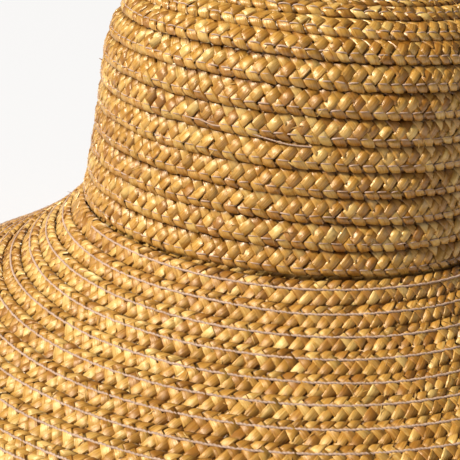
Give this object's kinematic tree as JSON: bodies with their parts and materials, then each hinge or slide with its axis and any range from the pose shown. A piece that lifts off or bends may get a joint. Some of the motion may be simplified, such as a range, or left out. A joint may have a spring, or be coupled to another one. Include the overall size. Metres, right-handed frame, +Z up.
{
  "type": "straw hat",
  "caption": "Wide-brimmed sun hat sewn from a flat straw plait, with a tall rounded crown and a sloping brim.",
  "frame": {"origin": "centre of the brim's edge, on the surface the hat stands on", "axes": "+Z up through the middle of the crown, -Y to the wearer's brow along the oval's longer axis, +X to the side; the picture looks from between -Y and +X"},
  "size_m": [0.3486, 0.3784, 0.1589],
  "materials": {
    "crown_straw": "natural golden straw plait, glossy on the straws' faces, sewn in overlapping rows with dashed thread",
    "brim_straw": "natural golden straw plait, glossy on the straws' faces, sewn in overlapping rows with twisted thread"
  },
  "bodies": {
    "root": {"crown_tip": "crown_straw", "crown_side": "crown_straw", "brim": "brim_straw"}
  },
  "joints": []
}
